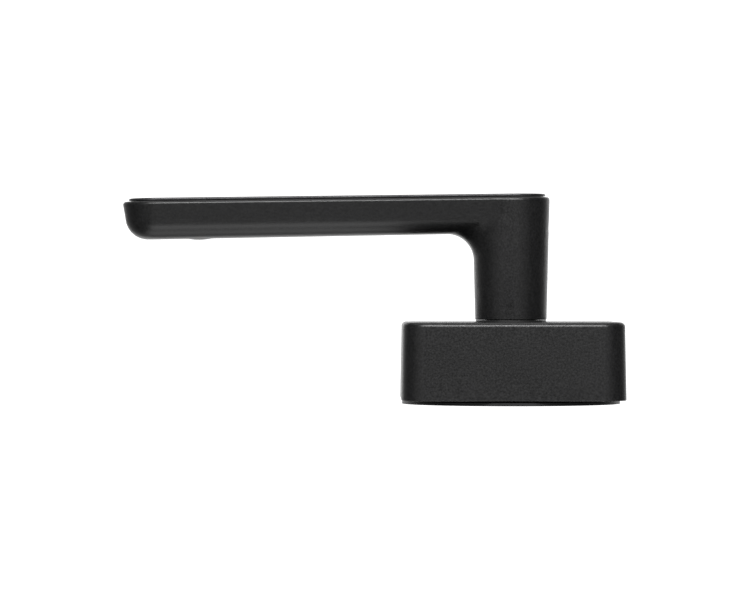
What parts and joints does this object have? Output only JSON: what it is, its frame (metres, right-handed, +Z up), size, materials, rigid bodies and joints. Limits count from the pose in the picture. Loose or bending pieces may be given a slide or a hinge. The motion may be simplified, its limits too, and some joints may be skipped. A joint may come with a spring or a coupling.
{
  "type": "door lever handle",
  "caption": "Right-angled black lever door handle on a thick square rose, with a rounded flat grip, a round neck and a sprung turning hub for a square spindle.",
  "frame": {"origin": "spindle axis where it meets the door's face, on the back of the mounting plate", "axes": "+X along the lever towards its tip, +Y into the door along the spindle, +Z up; the handle stands out of the door towards -Y"},
  "size_m": [0.1555, 0.0654, 0.0688],
  "materials": {
    "powder_coat": "black powder coat over zinc die casting, fine grain, satin",
    "black_anodised": "black anodised, satin",
    "black_plated_steel": "black plated steel, satin",
    "raw_zinc": "raw zinc die casting, dull grey",
    "plated_steel": "zinc plated steel",
    "spring_steel": "oiled spring steel",
    "black_steel": "black oxide steel",
    "brass": "turned brass",
    "black_nylon": "black nylon",
    "white_acetal": "natural acetal",
    "black_tape": "black foam tape"
  },
  "bodies": {
    "rose": {"mounting_plate": "black_plated_steel", "chassis": "raw_zinc", "rose_cover": "powder_coat", "cover_screw": "black_steel", "chassis_screws": "plated_steel", "threaded_sleeves": "brass", "neck_bush": "black_nylon", "front_bush": "white_acetal", "rear_bush": "white_acetal", "stop_pin": "plated_steel", "spring_post": "plated_steel", "return_spring": "spring_steel", "thrust_washer": "white_acetal"},
    "lever": {"drive_hub": "plated_steel", "spindle_grub_screw": "black_steel", "cam_plate": "plated_steel", "shim_washer": "plated_steel", "circlip": "spring_steel", "lever_body": "powder_coat", "face_plate": "black_anodised", "face_plate_tape": "black_tape", "plate_stud": "plated_steel", "plate_screw": "black_steel", "screw_plug": "black_nylon", "hub_bolt": "black_steel", "hub_bolt_washer": "plated_steel"}
  },
  "joints": [
    {"name": "lever_turn", "type": "hinge", "parent": "rose", "child": "lever", "pos_m": [0, -0.03, 0], "axis": [0, 1, 0], "range_deg": [-45, 45], "stiffness_Nm_per_rad": 2.5, "springref_deg": -2.29, "deforming": ["return_spring"]}
  ]
}
